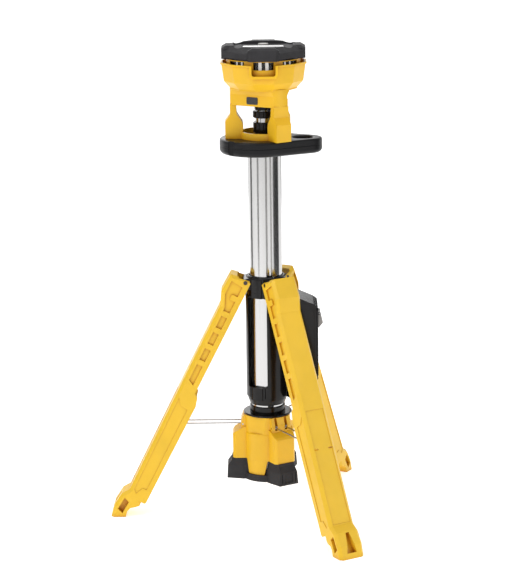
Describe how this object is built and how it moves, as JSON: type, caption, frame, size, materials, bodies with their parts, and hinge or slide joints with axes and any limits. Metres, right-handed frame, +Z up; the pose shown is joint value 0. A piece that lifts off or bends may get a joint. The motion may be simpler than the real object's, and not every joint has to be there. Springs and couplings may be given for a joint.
{
  "type": "tripod site light",
  "caption": "Battery site light with a round lamp head in a cage on a telescopic mast, a sliding carriage and folding channel legs.",
  "frame": {"origin": "centre of the hub's flat underside, on the mast's axis", "axes": "+Z up the mast, +X toward the battery box and the handle's loop"},
  "size_m": [0.5676, 0.6528, 1.081],
  "materials": {
    "yellow_plastic": "satin moulded",
    "leg_plastic": "satin moulded",
    "black_plastic": "glossy moulded",
    "handle_plastic": "fine grain",
    "rubber": "matt",
    "aluminium": "satin drawn",
    "steel": "bright",
    "dark_screw": "black oxide",
    "grey_plastic": "satin moulded",
    "nylon": "natural black nylon",
    "clear_lens": "clear polycarbonate",
    "led": "white diffuser",
    "heat_sink": "black anodised",
    "circuit_board": "board",
    "contact_brass": "bright",
    "badge": "blank label",
    "light_bar": "white diffuser"
  },
  "bodies": {
    "column": {"mast_tube": "aluminium", "mast_foot_plug": "nylon", "mast_top_bush": "nylon", "hub_shell": "yellow_plastic", "hub_boot": "rubber", "hub_base_plate": "black_plastic", "hub_screws": "dark_screw", "link_pivot_pins": "steel", "hub_collar": "black_plastic", "handle_lower_shell": "handle_plastic", "handle_upper_shell": "handle_plastic", "handle_screws": "dark_screw", "cage_shell": "yellow_plastic", "cage_screws": "dark_screw", "badge_plate": "badge"},
    "carriage": {"carriage_housing": "black_plastic", "hinge_crown": "black_plastic", "lower_guide_bush": "nylon", "upper_guide_bush": "nylon", "leg_pivot_pins": "dark_screw", "battery_box": "black_plastic", "door_hinge_lugs": "black_plastic", "door_hinge_pin": "steel", "door_seal": "rubber", "terminal_block": "nylon", "terminal_blades": "contact_brass"},
    "door": {"battery_door": "black_plastic", "latch_pin": "steel"},
    "latch": {"door_latch": "grey_plastic"},
    "battery": {"battery_pack": "black_plastic"},
    "pack_button": {"pack_release_button": "grey_plastic"},
    "lower_collar": {"lower_twist_collar": "black_plastic"},
    "middle_stage": {"middle_pole": "aluminium", "middle_pole_foot": "nylon", "middle_pole_bush": "nylon"},
    "upper_collar": {"upper_twist_collar": "black_plastic"},
    "top_stage": {"top_pole": "aluminium", "top_pole_foot": "nylon", "head_socket": "black_plastic"},
    "head": {"head_drum": "yellow_plastic", "heat_sink": "heat_sink", "led_strips": "led", "clear_lens": "clear_lens", "driver_board": "circuit_board", "cap_frame": "black_plastic", "rubber_cap": "rubber", "light_bar": "light_bar", "head_screws": "dark_screw"},
    "power_key": {"power_button": "grey_plastic"},
    "leg_left": {"leg_left": "leg_plastic"},
    "link_left": {"link_left": "steel"},
    "leg_front": {"leg_front": "leg_plastic"},
    "link_front": {"link_front": "steel"},
    "leg_rear": {"leg_rear": "leg_plastic"},
    "link_rear": {"link_rear": "steel"}
  },
  "joints": [
    {"name": "carriage_slide", "type": "slide", "parent": "column", "child": "carriage", "axis": [0, 0, 1], "range_m": [0, 0.1663]},
    {"name": "leg_left_fold", "type": "hinge", "parent": "carriage", "child": "leg_left", "pos_m": [-0.046, 0, 0.459], "axis": [0, -1, 0], "range_deg": [0, 22.6]},
    {"name": "link_left_swing", "type": "hinge", "parent": "column", "child": "link_left", "pos_m": [-0.057, 0, 0.1275], "axis": [0, 1, 0], "range_deg": [0, 91.2]},
    {"name": "leg_front_fold", "type": "hinge", "parent": "carriage", "child": "leg_front", "pos_m": [0.023, -0.03984, 0.459], "axis": [0.866, 0.5, 0], "range_deg": [0, 22.6]},
    {"name": "link_front_swing", "type": "hinge", "parent": "column", "child": "link_front", "pos_m": [0.0285, -0.04936, 0.1275], "axis": [-0.866, -0.5, 0], "range_deg": [0, 91.2]},
    {"name": "leg_rear_fold", "type": "hinge", "parent": "carriage", "child": "leg_rear", "pos_m": [0.023, 0.03984, 0.459], "axis": [-0.866, 0.5, 0], "range_deg": [0, 22.6]},
    {"name": "link_rear_swing", "type": "hinge", "parent": "column", "child": "link_rear", "pos_m": [0.0285, 0.04936, 0.1275], "axis": [0.866, -0.5, 0], "range_deg": [0, 91.2]},
    {"name": "lower_collar_twist", "type": "hinge", "parent": "column", "child": "lower_collar", "pos_m": [0, 0, 0.8075], "axis": [0, 0, 1], "range_deg": [0, 60]},
    {"name": "middle_pole_slide", "type": "slide", "parent": "column", "child": "middle_stage", "axis": [0, 0, 1], "range_m": [0, 0.55]},
    {"name": "upper_collar_twist", "type": "hinge", "parent": "middle_stage", "child": "upper_collar", "pos_m": [0, 0, 0.8365], "axis": [0, 0, 1], "range_deg": [0, 60]},
    {"name": "top_pole_slide", "type": "slide", "parent": "middle_stage", "child": "top_stage", "axis": [0, 0, 1], "range_m": [0, 0.5]},
    {"name": "head_swivel", "type": "hinge", "parent": "top_stage", "child": "head", "pos_m": [0, 0, 0.904], "axis": [0, 0, 1], "range_deg": [-175, 175]},
    {"name": "power_press", "type": "slide", "parent": "head", "child": "power_key", "axis": [0, 0, -1], "range_m": [0, 0.0015], "stiffness_N_per_m": 500, "springref_m": -0.0004},
    {"name": "door_hinge", "type": "hinge", "parent": "carriage", "child": "door", "pos_m": [0.1115, 0, 0.2385], "axis": [0, 1, 0], "range_deg": [0, 100]},
    {"name": "latch_lift", "type": "hinge", "parent": "door", "child": "latch", "pos_m": [0.1192, 0, 0.384], "axis": [0, -1, 0], "range_deg": [0, 35], "stiffness_Nm_per_rad": 0.05, "springref_deg": -11.46},
    {"name": "battery_slide", "type": "slide", "parent": "carriage", "child": "battery", "axis": [0, 0, 1], "range_m": [0, 0.028]},
    {"name": "pack_button_press", "type": "slide", "parent": "battery", "child": "pack_button", "axis": [-1, 0, 0], "range_m": [0, 0.002], "stiffness_N_per_m": 500, "springref_m": -0.0004}
  ],
  "couplings": [
    {"joint": "leg_left_fold", "follows": "carriage_slide", "rad_per_m": 2.3612},
    {"joint": "link_left_swing", "follows": "carriage_slide", "rad_per_m": 9.556},
    {"joint": "leg_front_fold", "follows": "carriage_slide", "rad_per_m": 2.3612},
    {"joint": "link_front_swing", "follows": "carriage_slide", "rad_per_m": 9.556},
    {"joint": "leg_rear_fold", "follows": "carriage_slide", "rad_per_m": 2.3612},
    {"joint": "link_rear_swing", "follows": "carriage_slide", "rad_per_m": 9.556}
  ]
}
